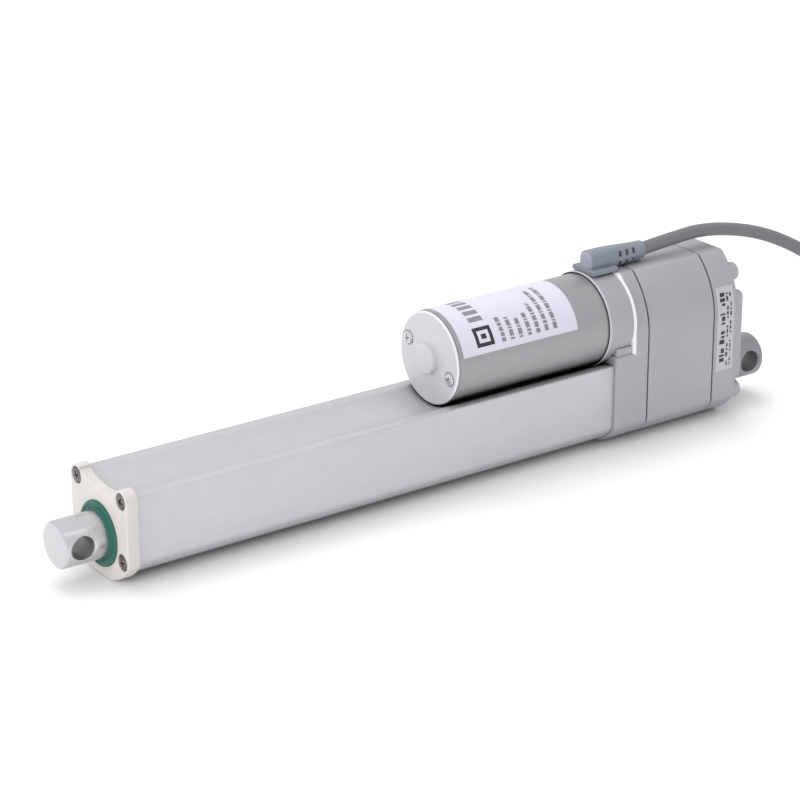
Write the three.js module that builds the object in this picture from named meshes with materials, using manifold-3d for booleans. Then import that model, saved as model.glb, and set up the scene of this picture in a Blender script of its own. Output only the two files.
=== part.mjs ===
// Linear actuator: a 150 mm stroke electric ram. A 12 V motor lies on top of the ram's tube and turns a
// lead screw inside it through two pairs of spur gears, and a nut on the screw pushes the rod in and out.
// Millimetres, +Z up, +X along the rod towards its end. The assembly is drawn about the rod's axis, from a
// datum plane inside the front cap, and moved at the end so that it stands centred on z = 0.

import * as THREE from 'three';
import { mergeVertices } from 'three/addons/utils/BufferGeometryUtils.js';
import Module from 'manifold-3d';

const wasm = await Module();
wasm.setup();

// ---------------------------------------------------------------- driving dimensions
const ROD_R = 10;                 // rod, 20 mm across
const ROD_OUT = 21.7;             // rod end face when drawn in
const PIN_R = 5.1;                // cross holes for 10 mm pins
const PIN_INSET = 8;              // cross hole centre behind the end face
const RUN = 0.08;                 // radial running clearance
const FIT = 0.1;                  // radial gap of pieces that are pushed together

const BODY_HALF = 21.7;           // half width of cap, tube socket and gearbox
const BELLY_R = 27;               // radius of the underside
const FLOOR = -18;                // flat of the underside, below the rod axis
const FLAT_HALF = 8;              // half width of that flat
const CORNER_R = 4;               // between underside and sides

const CAP_FRONT = 1;              // front cap plate
const TUBE_FRONT = -4.5;
const TUBE_INSET = 1.4;           // tube surface inside the cap's outline
const TUBE_TOP = 21.6;            // rails along the top of the tube
const TUBE_END = -252;            // rear end of the tube, inside its socket
const BORE_R = 14.3;              // round bore that the nut slides in
const TROUGH_R = 30;              // hollow along the top of the tube, which clears the motor
const TROUGH_BOTTOM = 17.1;
const CAP_TROUGH = { radius: 30, bottom: 18.5, edge: 20.4 };
const SCREW_Y = 17;               // cap screws
const SCREW_Z = [19.4, -6.9];
const SCREW_HEAD_R = 3.4;

const MOTOR_Z = 38.3;             // motor axis above the rod axis
const MOTOR_R = 20.7;
const MOTOR_FRONT = -162.7;        // end face; the boss stands in front of it
const MOTOR_BOSS = 3.2;
const MOTOR_REAR = -251.7;

const SOCKET_FRONT = -249.3;        // gearbox, from the tube socket back
const SOCKET_TOP = 25.5;
const COLLAR_FRONT = -245;
const COLLAR_R = 21.7;
const FLANGE_FRONT = -259;
const FRONT_SEAM = -267.8;
const REAR_SEAM = -306.2;
const CAP_BACK = -321.3;
const PLATEAU = -324.8;
const PIVOT_END = -348.8;
const GASKET_T = 0.5;
const WALL = 3;

const HEAD_TOP = 59.3;            // flat on top of the gearbox
const SHOULDER_R = 36;            // its shoulders, which start from the sides at SHOULDER_Z
const SHOULDER_Z = 32;

const IDLER_Z = 17.5;             // compound gear between motor and screw
const FRONT_MESH = [-281, -271];  // from and to, along X
const REAR_MESH = [-292, -284];
const AXLE_R = 2.5;

const CABLE_R = 3;
const CABLE_Z = 64.2;             // where the cable leaves its boot
const BOOT_END = -280;
const TIE_T = 0.6;                // strap round the hank
const TIE_GAP = 0.1;
const HANK = { front: -430, run: 90, outer: 24.3, inner: 18, height: 4 * CABLE_R };
const PLUG = { behind: 38, length: 26, y: -4, half: 8, height: 10, pins: 10 };

const SMALL = 12;                 // sides of small, medium and large round pieces
const MEDIUM = 20;
const LARGE = 28;

// ---------------------------------------------------------------- materials
function material(color, roughness, metalness) {
  return new THREE.MeshStandardMaterial({ color, roughness, metalness });
}

const anodised = material(0xcccdd2, 0.4, 0.85);
const turnedAluminium = material(0xd2d2d2, 0.3, 0.9);
const castPaint = material(0xa9aaae, 0.5, 0.35);
const canPaint = material(0xb2b3b8, 0.45, 0.5);
const ivory = material(0xece6d8, 0.5, 0);
const green = material(0x1d7a5c, 0.55, 0);
const steel = material(0x8e9094, 0.35, 0.95);
const zinc = material(0xb9bcc0, 0.35, 0.9);
const bronze = material(0xa8834a, 0.45, 0.85);
const copper = material(0xb06a38, 0.4, 0.9);
const ferrite = material(0x33343a, 0.7, 0.2);
const gearPlastic = material(0xe8e4d4, 0.5, 0);
const blackRubber = material(0x222324, 0.8, 0);
const boardGreen = material(0x1f5a38, 0.6, 0);
const blackPlastic = material(0x1d1d1f, 0.5, 0);
const blueGrey = material(0x8fa3b0, 0.6, 0);
const cableGrey = material(0x9a9c9e, 0.6, 0);
const labelWhite = material(0xf2f2f0, 0.5, 0);

// ---------------------------------------------------------------- geometry helpers
const actuator = new THREE.Group();
const Y = new THREE.Vector3(0, 1, 0);
const Z = new THREE.Vector3(0, 0, 1);
const X = new THREE.Vector3(1, 0, 0);

function add(name, look, geometry) {
  const mesh = new THREE.Mesh(geometry, look);
  mesh.name = name;
  actuator.add(mesh);
  return mesh;
}

// Points of an arc about (y, z), angles in degrees from +Y towards +Z.
function arc(y, z, radius, from, to, steps) {
  return Array.from({ length: steps + 1 }, (_, i) => {
    const a = THREE.MathUtils.degToRad(from + ((to - from) * i) / steps);
    return new THREE.Vector2(y + radius * Math.cos(a), z + radius * Math.sin(a));
  });
}

// The right half of an outline, bottom to top, and its mirror image.
function mirrored(half) {
  const left = half.filter((p) => p.x > 0.001).map((p) => new THREE.Vector2(-p.x, p.y));
  return new THREE.Shape([...half, ...left.reverse()]);
}

function circle(y, z, radius, sides) {
  return new THREE.Shape(arc(y, z, radius, 0, 360, sides).slice(0, -1));
}

function rectangle(y0, y1, z0, z1) {
  const corners = [[y0, z0], [y1, z0], [y1, z1], [y0, z1]];
  return new THREE.Shape(corners.map(([y, z]) => new THREE.Vector2(y, z)));
}

// Turns a geometry right side out, if it is inside out.
function outward(geometry) {
  const flat = geometry.index ? geometry.toNonIndexed() : geometry;
  const at = flat.attributes.position;
  const [a, b, c] = [new THREE.Vector3(), new THREE.Vector3(), new THREE.Vector3()];
  let volume = 0;
  for (let i = 0; i < at.count; i += 3) {
    a.fromBufferAttribute(at, i);
    b.fromBufferAttribute(at, i + 1);
    c.fromBufferAttribute(at, i + 2);
    volume += a.dot(b.cross(c));
  }
  if (volume < 0) {
    const p = at.array;
    for (let i = 0; i < p.length; i += 9) {
      for (let k = 0; k < 3; k += 1) [p[i + 3 + k], p[i + 6 + k]] = [p[i + 6 + k], p[i + 3 + k]];
    }
  }
  flat.deleteAttribute('normal');
  flat.deleteAttribute('uv');
  return mergeVertices(flat, 1e-4);
}

// An outline in the YZ plane, drawn out along X.
function alongX(shape, from, to) {
  const geometry = new THREE.ExtrudeGeometry(shape, { depth: to - from, bevelEnabled: false });
  geometry.applyMatrix4(new THREE.Matrix4().makeBasis(Y, Z, X));
  return outward(geometry.translate(from, 0, 0));
}

// A profile of [radius, x] points turned about the line along X at (y, z).
function turned(points, sides, y = 0, z = 0) {
  const profile = points.map(([radius, x]) => new THREE.Vector2(radius, x));
  const geometry = new THREE.LatheGeometry(profile, sides);
  geometry.applyMatrix4(new THREE.Matrix4().makeBasis(Z, X, Y));
  return outward(geometry.translate(0, y, z));
}

function cylinder(radius, from, to, sides, y = 0, z = 0) {
  return turned([[0, from], [radius, from], [radius, to], [0, to]], sides, y, z);
}

function ring(inner, outer, from, to, sides, y = 0, z = 0) {
  return turned([[inner, from], [outer, from], [outer, to], [inner, to], [inner, from]], sides, y, z);
}

function box(x0, x1, y0, y1, z0, z1) {
  const geometry = new THREE.BoxGeometry(x1 - x0, y1 - y0, z1 - z0);
  geometry.translate((x0 + x1) / 2, (y0 + y1) / 2, (z0 + z1) / 2);
  return outward(geometry);
}

function solid(geometry) {
  const vertProperties = new Float32Array(geometry.attributes.position.array);
  const triVerts = new Uint32Array(geometry.index.array);
  return new wasm.Manifold(new wasm.Mesh({ numProp: 3, vertProperties, triVerts }));
}

function geometryOf(manifold) {
  const { vertProperties, triVerts } = manifold.getMesh();
  const geometry = new THREE.BufferGeometry();
  geometry.setAttribute('position', new THREE.BufferAttribute(vertProperties, 3));
  return geometry.setIndex(new THREE.BufferAttribute(triVerts, 1));
}

function combine(joined, cut = []) {
  let whole = solid(joined[0]);
  for (const geometry of joined.slice(1)) whole = whole.add(solid(geometry));
  for (const geometry of cut) whole = whole.subtract(solid(geometry));
  return geometryOf(whole);
}

// ---------------------------------------------------------------- outlines
// Underside and sides, up to where the sides begin; every distance is moved in by inset.
function underside(inset) {
  const centreZ = FLOOR + Math.sqrt(BELLY_R ** 2 - FLAT_HALF ** 2);
  const radius = BELLY_R - inset;
  const floor = FLOOR + inset;
  const flat = Math.sqrt(radius ** 2 - (centreZ - floor) ** 2);
  const cornerY = BODY_HALF - inset - CORNER_R;
  const cornerZ = centreZ - Math.sqrt((radius - CORNER_R) ** 2 - cornerY ** 2);
  const meets = THREE.MathUtils.radToDeg(Math.atan2(cornerZ - centreZ, cornerY));
  const starts = THREE.MathUtils.radToDeg(Math.atan2(floor - centreZ, flat));
  const belly = arc(0, centreZ, radius, starts, meets, 4);
  return [...belly, ...arc(cornerY, cornerZ, CORNER_R, meets, 0, 3).slice(1)];
}

function trough(radius, bottom, top, steps) {
  const centreZ = bottom + radius;
  const edge = THREE.MathUtils.radToDeg(Math.asin((top - centreZ) / radius));
  return arc(0, centreZ, radius, edge, -90, steps);
}

function tubeOutline(grow = 0) {
  const side = BODY_HALF - TUBE_INSET + grow;
  const rail = [new THREE.Vector2(side, TUBE_TOP - 1), new THREE.Vector2(side - 1, TUBE_TOP + grow)];
  const hollow = trough(TROUGH_R - grow, TROUGH_BOTTOM + grow, TUBE_TOP + grow, 7);
  return mirrored([...underside(TUBE_INSET - grow), ...rail, ...hollow]);
}

// The front cap follows the tube, with a rounded ear about each upper screw.
function capOutline() {
  const earR = BODY_HALF - SCREW_Y;
  const ear = arc(SCREW_Y, SCREW_Z[0], earR, 0, 120, 6);
  const dip = trough(CAP_TROUGH.radius, CAP_TROUGH.bottom, CAP_TROUGH.edge, 5);
  return mirrored([...underside(0), ...ear, ...dip]);
}

function socketOutline() {
  const top = [new THREE.Vector2(BODY_HALF, SOCKET_TOP), new THREE.Vector2(0, SOCKET_TOP)];
  return mirrored([...underside(0), ...top]);
}

function headOutline(inset) {
  const radius = SHOULDER_R - inset;
  const centreY = BODY_HALF - SHOULDER_R;
  const top = HEAD_TOP - inset;
  const edge = THREE.MathUtils.radToDeg(Math.asin((top - SHOULDER_Z) / radius));
  return mirrored([...underside(inset), ...arc(centreY, SHOULDER_Z, radius, 0, edge, 7)]);
}

// An involute spur gear with stub teeth; a tooth points at the angle first, from +Y towards +Z.
function gearOutline(teeth, module, first) {
  const pressure = THREE.MathUtils.degToRad(25);
  const involute = (a) => Math.tan(a) - a;
  const pitchR = (teeth * module) / 2;
  const baseR = pitchR * Math.cos(pressure);
  const backlash = 0.1 * module;
  const halfTooth = Math.PI / (2 * teeth) - backlash / (2 * pitchR);
  const rootR = pitchR - 1.05 * module;
  const radii = [Math.max(baseR, rootR), pitchR, pitchR + 0.8 * module];
  const halfAngle = (r) => halfTooth + involute(pressure) - involute(Math.acos(Math.min(1, baseR / r)));
  const flank = radii.map((r) => [r, halfAngle(r)]);
  if (rootR < baseR) flank.unshift([rootR, flank[0][1]]);
  const points = [];
  for (let i = 0; i < teeth; i += 1) {
    const centre = THREE.MathUtils.degToRad(first) + (i * 2 * Math.PI) / teeth;
    for (const [r, a] of flank) points.push([r, centre - a]);
    for (const [r, a] of [...flank].reverse()) points.push([r, centre + a]);
  }
  return new THREE.Shape(points.map(([r, a]) => new THREE.Vector2(r * Math.cos(a), r * Math.sin(a))));
}

function gear(teeth, module, first, boreR, [from, to], z) {
  const outline = gearOutline(teeth, module, first);
  outline.holes.push(new THREE.Path(arc(0, 0, boreR, 0, 360, MEDIUM).slice(0, -1)));
  return alongX(outline, from, to).translate(0, 0, z);
}

// ---------------------------------------------------------------- rod and nut
const PIVOT_PIN_X = { front: ROD_OUT - PIN_INSET, rear: PIVOT_END + PIN_INSET };
const ROD_JOINT = -8;
const ROD_REAR = -187.7;
const ROD_INNER_R = 7.4;
const NUT_PIN = { x: -181, r: 1.5, low: 7.7, high: 13.9 };

// A hole across a round end, along Y, with a countersink at each mouth.
function crossHole(x) {
  const mouth = ROD_R - 0.8;
  const sides = [[PIN_R + 2, -ROD_R - 1.2], [PIN_R, -mouth], [PIN_R, mouth], [PIN_R + 2, ROD_R + 1.2]];
  const profile = [[0, -ROD_R - 1.2], ...sides, [0, ROD_R + 1.2]].map(([r, y]) => new THREE.Vector2(r, y));
  return outward(new THREE.LatheGeometry(profile, MEDIUM).translate(x, 0, 0));
}

function verticalPin(x, radius, low, high) {
  const geometry = new THREE.CylinderGeometry(radius, radius, high - low, 12);
  geometry.rotateX(Math.PI / 2);
  return outward(geometry.translate(x, 0, (low + high) / 2));
}

function makeRod() {
  const stub = turned([
    [0, -26], [ROD_INNER_R - FIT, -26], [ROD_INNER_R - FIT, ROD_JOINT], [ROD_R, ROD_JOINT],
    [ROD_R, ROD_OUT - 1], [ROD_R - 1, ROD_OUT], [0, ROD_OUT],
  ], LARGE);
  add('rod_end', turnedAluminium, combine([stub], [crossHole(PIVOT_PIN_X.front)]));

  const pinHole = verticalPin(NUT_PIN.x, NUT_PIN.r + FIT, 5, 16);
  const tube = ring(ROD_INNER_R, ROD_R, ROD_REAR, ROD_JOINT, LARGE);
  add('rod_tube', turnedAluminium, combine([tube], [pinHole]));

  const nut = turned([
    [6 + RUN, -204], [BORE_R - FIT, -204], [BORE_R - FIT, -176], [ROD_R + FIT, -176],
    [ROD_R + FIT, -188], [6 + RUN, -188], [6 + RUN, -204],
  ], LARGE);
  const magnetSeat = box(-198.2, -191.8, -15, -11, -2.2, 2.2);
  add('drive_nut', gearPlastic, combine([nut], [pinHole, magnetSeat]));
  add('nut_pin', steel, verticalPin(NUT_PIN.x, NUT_PIN.r, NUT_PIN.low, NUT_PIN.high));
  add('limit_magnet', ferrite, box(-198, -192, -13.8, -11.2, -2, 2));
}

// ---------------------------------------------------------------- tube and front cap
const CAP_SCREWS = SCREW_Z.flatMap((z) => [[-SCREW_Y, z], [SCREW_Y, z]]);
const CAP_SCREW_R = 1.6;

function makeTube() {
  const outline = tubeOutline();
  const bore = arc(0, 0, BORE_R, 167, -160, 28);
  const pocket = [[-13.7, -4], [-17.6, -4], [-17.6, 5.5], [-13.2, 5.5]];
  const cavity = [...bore, ...pocket.map(([y, z]) => new THREE.Vector2(y, z))];
  outline.holes.push(new THREE.Path(cavity));
  for (const [y, z] of CAP_SCREWS) {
    outline.holes.push(new THREE.Path(circle(y, z, CAP_SCREW_R + 0.15, 8).getPoints()));
  }
  add('outer_tube', anodised, alongX(outline, TUBE_END, TUBE_FRONT));
  add('limit_board', boardGreen, box(-215, -20, -17.3, -15.7, -3.5, 5));
  add('limit_sensor_front', blackPlastic, box(-49, -44, -15.6, -14.6, -2, 2));
  add('limit_sensor_rear', blackPlastic, box(-198, -193, -15.6, -14.6, -2, 2));
}

function makeFrontCap() {
  const seat = CAP_FRONT - 1.7;
  const past = CAP_FRONT + 1;
  const plate = alongX(capOutline(), TUBE_FRONT, CAP_FRONT);
  const spigot = ring(11, BORE_R - FIT, -14.5, TUBE_FRONT + 0.5, LARGE);
  const cuts = [cylinder(12.1, -16, past, LARGE), cylinder(12.7, seat - 1.3, past, LARGE)];
  for (const [y, z] of CAP_SCREWS) {
    cuts.push(cylinder(CAP_SCREW_R + 0.6, TUBE_FRONT - 1, past, SMALL, y, z));
    cuts.push(cylinder(SCREW_HEAD_R + 0.2, seat - FIT, past, SMALL, y, z));
  }
  add('front_cap', ivory, combine([plate, spigot], cuts));

  CAP_SCREWS.forEach(([y, z], i) => {
    const head = [[SCREW_HEAD_R, seat], [SCREW_HEAD_R, seat + 1.9], [2.2, seat + 2.3], [0, seat + 2.3]];
    const profile = [[0, -20], [CAP_SCREW_R, -20], [CAP_SCREW_R, seat], ...head];
    add(`cap_screw_${i + 1}`, steel, turned(profile, SMALL, y, z));
  });

  const inner = ROD_R + RUN;
  const lip = [[12.6, CAP_FRONT + 0.1], [13.9, CAP_FRONT + 0.1], [13.9, CAP_FRONT + 0.9],
    [11.6, CAP_FRONT + 1.3], [inner, CAP_FRONT + 2.1]];
  const root = seat - 1.1;
  add('wiper_seal', green, turned([[inner, root], [12.6, root], ...lip, [inner, root]], LARGE));
  add('rod_bush', bronze, ring(inner, 12, -14.2, root - 0.3, LARGE));
}

// ---------------------------------------------------------------- screw and its gear
function makeScrew() {
  const core = [[0, -282.3], [5, -282.3], [5, -240], [6, -240], [6, -31.5], [4.5, -30], [0, -30]];
  add('lead_screw', steel, turned(core, MEDIUM));
  add('screw_bearing_inner', zinc, ring(5 + FIT, 8, -262, -254, MEDIUM));
  add('screw_bearing_outer', zinc, ring(9.2, 13, -262, -254, LARGE));
  add('screw_collar', steel, ring(5 + FIT, 7.6, -253.8, -247, MEDIUM));
  add('screw_gear', gearPlastic, gear(16, 1.25, 90 + 180 / 16, 5 + FIT, FRONT_MESH, 0));
}

function makeIdler() {
  add('idler_axle', steel, cylinder(AXLE_R, -311, -262.5, SMALL, 0, IDLER_Z));
  add('idler_gear_small', steel, gear(12, 1.25, -90, AXLE_R + FIT, FRONT_MESH, IDLER_Z));
  add('idler_gear_large', gearPlastic, gear(40, 0.8, 90 + 180 / 40, AXLE_R + FIT, REAR_MESH, IDLER_Z));
  add('idler_spacer', steel, ring(AXLE_R + FIT, 5, REAR_MESH[1], FRONT_MESH[0], SMALL, 0, IDLER_Z));
}

// ---------------------------------------------------------------- motor
function makeMotor() {
  const canFront = MOTOR_FRONT - 1.4;
  const can = turned([
    [19, canFront], [MOTOR_R, canFront], [MOTOR_R, MOTOR_REAR + 0.5], [MOTOR_R - 0.5, MOTOR_REAR],
    [4, MOTOR_REAR], [4, -250], [19, -250], [19, canFront],
  ], LARGE, 0, MOTOR_Z);
  add('motor_can', canPaint, can);

  const bossFront = MOTOR_FRONT + MOTOR_BOSS;
  const bellRear = MOTOR_FRONT - 6;
  const boreFront = MOTOR_FRONT + 2;
  const bell = turned([
    [0, boreFront], [0, bossFront], [6.2, bossFront], [6.7, bossFront - 0.5], [6.7, MOTOR_FRONT],
    [19.9, MOTOR_FRONT], [20.5, MOTOR_FRONT - 0.5], [20.5, canFront + 0.2], [18.9, canFront + 0.2],
    [18.9, bellRear], [AXLE_R + FIT, bellRear], [AXLE_R + FIT, boreFront], [0, boreFront],
  ], LARGE, 0, MOTOR_Z);
  const screwPlaces = [-1, 1].map((side) => [side * 14.5, MOTOR_Z - side * 5.3]);
  const seats = screwPlaces.map(([y, z]) => cylinder(1.6, bellRear + 1, MOTOR_FRONT + 1, SMALL, y, z));
  add('motor_end_bell', canPaint, combine([bell], seats));
  screwPlaces.forEach(([y, z], i) => {
    const face = MOTOR_FRONT + 0.1;
    const profile = [[0, face - 4.1], [1.5, face - 4.1], [1.5, face], [2.9, face], [2.9, face + 0.9],
      [2, face + 1.3], [0, face + 1.3]];
    add(`motor_screw_${i + 1}`, zinc, turned(profile, SMALL, y, z));
  });

  ['left', 'right'].forEach((name, i) => {
    const middle = i === 0 ? 180 : 0;
    const inner = arc(0, MOTOR_Z, 15.6, middle - 60, middle + 60, 8);
    const outer = arc(0, MOTOR_Z, 18.7, middle + 60, middle - 60, 8);
    add(`magnet_${name}`, ferrite, alongX(new THREE.Shape([...inner, ...outer]), -240, -186));
  });

  add('motor_bush', bronze, ring(AXLE_R + RUN, 3.9, -254, -250, MEDIUM, 0, MOTOR_Z));
  add('motor_shaft', steel, cylinder(AXLE_R, -293, boreFront - 1, MEDIUM, 0, MOTOR_Z));
  add('armature', copper, ring(AXLE_R + FIT, 15, -238, -188, MEDIUM, 0, MOTOR_Z));
  add('commutator', copper, ring(AXLE_R + FIT, 6.5, -186, -175, MEDIUM, 0, MOTOR_Z));
  add('brush_card', blackPlastic, ring(8.5, 18.6, -174.6, -172.6, LARGE, 0, MOTOR_Z));
  add('brush_upper', ferrite, box(-182, -175, -2, 2, MOTOR_Z + 6.8, MOTOR_Z + 13));
  add('brush_lower', ferrite, box(-182, -175, -2, 2, MOTOR_Z - 13, MOTOR_Z - 6.8));
  add('motor_pinion', steel, gear(12, 0.8, -90, AXLE_R + FIT, REAR_MESH, MOTOR_Z));
}

// ---------------------------------------------------------------- gearbox
const CORNERS = [[12.6, 48.6], [-12.6, 48.6], [17, -6.5], [-17, -6.5]];
const HEAD_R = 3.2;               // heads of the housing screws, sunk in bosses on the rear cover

function screwHoles(radius, from, to) {
  return CORNERS.map(([y, z]) => cylinder(radius, from, to, SMALL, y, z));
}

function makeGearbox() {
  const shell = [
    alongX(socketOutline(), FRONT_SEAM, SOCKET_FRONT),
    alongX(headOutline(0), FRONT_SEAM, FLANGE_FRONT),
    cylinder(COLLAR_R, FLANGE_FRONT - 1, COLLAR_FRONT, LARGE, 0, MOTOR_Z),
  ];
  const pockets = [
    cylinder(MOTOR_R + FIT, MOTOR_REAR - 0.3, COLLAR_FRONT + 1, LARGE, 0, MOTOR_Z),
    alongX(tubeOutline(FIT), TUBE_END - 0.2, COLLAR_FRONT + 1),
    cylinder(4 + FIT, FRONT_SEAM - 1, MOTOR_REAR + 1, SMALL, 0, MOTOR_Z),
    cylinder(13 + FIT, -262.2, TUBE_END + 1, LARGE),
    cylinder(8.5, FRONT_SEAM - 1, -262, LARGE),
    cylinder(AXLE_R + FIT, FRONT_SEAM - 1, -262, SMALL, 0, IDLER_Z),
    ...screwHoles(1.9, FRONT_SEAM - 1, -261),
  ];
  add('front_housing', castPaint, combine(shell, pockets));

  const inside = solid(alongX(headOutline(WALL), REAR_SEAM - 1, FRONT_SEAM + 1));
  const bosses = screwHoles(4.4, REAR_SEAM - 2, FRONT_SEAM + 2).map(solid);
  const cavity = bosses.reduce((left, boss) => left.subtract(boss), inside);
  const holes = screwHoles(2.1, REAR_SEAM - 1, FRONT_SEAM + 1).map(solid);

  function section(from, to, inset) {
    const whole = solid(alongX(headOutline(inset), from, to)).subtract(cavity);
    return geometryOf(holes.reduce((left, hole) => left.subtract(hole), whole));
  }
  add('front_gasket', blackRubber, section(FRONT_SEAM - GASKET_T, FRONT_SEAM, 0.4));
  add('mid_housing', castPaint, section(REAR_SEAM, FRONT_SEAM - GASKET_T, 0));

  const coverFront = REAR_SEAM - GASKET_T;
  const gasketCut = [alongX(headOutline(WALL + 1), coverFront - 1, REAR_SEAM + 1)];
  const gasket = alongX(headOutline(0.4), coverFront, REAR_SEAM);
  add('rear_gasket', blackRubber, combine([gasket], [...gasketCut, ...screwHoles(2.1, -310, -300)]));

  const cover = alongX(headOutline(0), CAP_BACK, coverFront);
  const plateau = box(PLATEAU, CAP_BACK + 1, -20.4, 20.4, -1.5, 41);
  const boss = cylinder(ROD_R + 1, PLATEAU, CAP_BACK + 1, LARGE);
  const screwBosses = screwHoles(HEAD_R + 1, PLATEAU, CAP_BACK + 1);
  const cuts = [
    cylinder(AXLE_R + FIT, -311.5, coverFront + 1, SMALL, 0, IDLER_Z),
    cylinder(6 + FIT, -313, coverFront + 1, MEDIUM),
    cylinder(8 + FIT, PLATEAU - 1, -313, MEDIUM),
    ...screwHoles(2.1, CAP_BACK - 1, coverFront + 1),
    ...screwHoles(HEAD_R + 0.2, PLATEAU - 1, CAP_BACK),
  ];
  add('rear_cover', castPaint, combine([cover, plateau, boss, ...screwBosses], cuts));

  CORNERS.forEach(([y, z], i) => {
    const back = CAP_BACK - 0.1;
    const profile = [[0, back - 2.6], [2.4, back - 2.6], [HEAD_R, back - 1.8], [HEAD_R, back], [1.7, back],
      [1.7, -262], [0, -262]];
    add(`housing_screw_${i + 1}`, steel, turned(profile, SMALL, y, z));
  });

  const pivot = turned([
    [0, PIVOT_END], [ROD_R - 1, PIVOT_END], [ROD_R, PIVOT_END + 1], [ROD_R, PLATEAU - 0.1],
    [8, PLATEAU - 0.1], [8, -313.2], [6, -313.2], [6, coverFront - 0.5], [0, coverFront - 0.5],
  ], LARGE);
  add('rear_pivot', turnedAluminium, combine([pivot], [crossHole(PIVOT_PIN_X.rear)]));
}

// ---------------------------------------------------------------- labels
function makeLabels() {
  const low = MOTOR_R + 0.1;
  const inner = arc(0, MOTOR_Z, low, 14, 150, 14);
  const outer = arc(0, MOTOR_Z, low + 0.2, 150, 14, 14);
  const front = MOTOR_FRONT - 3.4;
  add('motor_label', labelWhite, alongX(new THREE.Shape([...inner, ...outer]), front - 62, front));
  const side = (gap) => [
    new THREE.Vector2(BODY_HALF + gap, 6),
    ...arc(BODY_HALF - SHOULDER_R, SHOULDER_Z, SHOULDER_R + gap, 0, 21.5, 4),
  ];
  const outline = new THREE.Shape([...side(0.3), ...side(0.1).reverse()]);
  add('rear_label', labelWhite, alongX(outline, CAP_BACK + 3.3, CAP_BACK + 13.3));
}

// ---------------------------------------------------------------- cable
function tubeAlong(points, radius, steps) {
  const path = new THREE.CatmullRomCurve3(points.map(([x, y, z]) => new THREE.Vector3(x, y, z)));
  const section = circle(0, 0, radius, 10);
  return outward(new THREE.ExtrudeGeometry(section, { steps, extrudePath: path, bevelEnabled: false }));
}

// A stadium outline in the XY plane, centred between the hank's two round ends.
function stadium(radius, run, steps) {
  const rearX = HANK.front - run;
  const points = [];
  for (const [x, from] of [[HANK.front, -90], [rearX, 90]]) {
    for (const p of arc(x, 0, radius, from, from + 180, steps)) points.push(p);
  }
  return new THREE.Shape(points);
}

function makeCable() {
  const foot = box(-261, -247, -7.5, 7.5, HEAD_TOP + 0.2, 62);
  const hood = box(-262, -247.5, -4.4, 4.4, 61.8, CABLE_Z + 5);
  const sleeve = turned([[0, -261], [4.7, -261], [3.9, BOOT_END], [0, BOOT_END]], SMALL, 0, CABLE_Z);
  const notch = cylinder(COLLAR_R + 0.2, FLANGE_FRONT - 1.2, -240, LARGE, 0, MOTOR_Z);
  add('cable_boot', blueGrey, combine([foot, hood, sleeve], [notch]));

  // From the boot back over the gearbox and down to the hank behind the rear pivot.
  const fall = [
    [-280.3, 0, 64.2], [-290, 0, 65.0], [-300, 0, 65.7], [-312, 0, 66.2], [-325, 0, 64.9],
    [-340, 0, 61.6], [-354, 0.3, 57.0], [-367, 1.8, 51.0], [-379, 4.8, 43.6], [-390, 9.2, 34.4],
    [-399, 13.9, 24.0], [-407, 18.4, 13.4], [-415, 22.2, 4.0], [-421, 23.9, -1.3],
  ];
  add('cable', cableGrey, tubeAlong(fall, CABLE_R, 16));

  const bottom = FLOOR + TIE_T + TIE_GAP;
  const outline = stadium(HANK.outer + CABLE_R, HANK.run, 10);
  outline.holes.push(new THREE.Path(stadium(HANK.inner - CABLE_R, HANK.run, 10).getPoints()));
  const hank = new THREE.ExtrudeGeometry(outline, { depth: HANK.height, bevelEnabled: false });
  add('cable_hank', cableGrey, outward(hank.translate(0, 0, bottom)));

  const half = HANK.outer + CABLE_R + TIE_GAP;
  const middle = HANK.front - HANK.run / 2;
  const top = bottom + HANK.height + TIE_GAP;
  const strap = rectangle(-half - TIE_T, half + TIE_T, FLOOR, top + TIE_T);
  strap.holes.push(new THREE.Path(rectangle(-half, half, FLOOR + TIE_T, top).getPoints()));
  add('cable_tie', blackPlastic, alongX(strap, middle - 24, middle - 14));

  // The end of the cable comes down off the turns to the plug, which lies between the hank's two runs.
  const plugBack = HANK.front - HANK.run + PLUG.behind;
  const plugFront = plugBack + PLUG.length;
  const plugZ = FLOOR + PLUG.height / 2;
  const tail = [
    [-19, -7, 3.5], [-13.3, -3.95, 2.1], [-7.6, -1.46, 0.8], [-3, -0.26, 0.15], [-0.4, 0, 0],
  ].map(([x, y, z]) => [plugBack + x, PLUG.y + y, plugZ + z]);
  add('cable_tail', cableGrey, tubeAlong(tail, CABLE_R, 6));
  add('plug_body', blackPlastic,
    box(plugBack, plugFront, PLUG.y - PLUG.half, PLUG.y + PLUG.half, FLOOR, FLOOR + PLUG.height));
  [-3.5, 3.5].forEach((y, i) => {
    const pin = cylinder(1.2, plugFront + 0.1, plugFront + PLUG.pins, SMALL, PLUG.y + y, plugZ);
    add(`plug_pin_${i + 1}`, zinc, pin);
  });
}

makeRod();
makeTube();
makeFrontCap();
makeScrew();
makeIdler();
makeMotor();
makeGearbox();
makeLabels();
makeCable();

actuator.position.set(-(ROD_OUT + PIVOT_END) / 2, 0, -FLOOR);

export default actuator;
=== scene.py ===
import math

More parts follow.
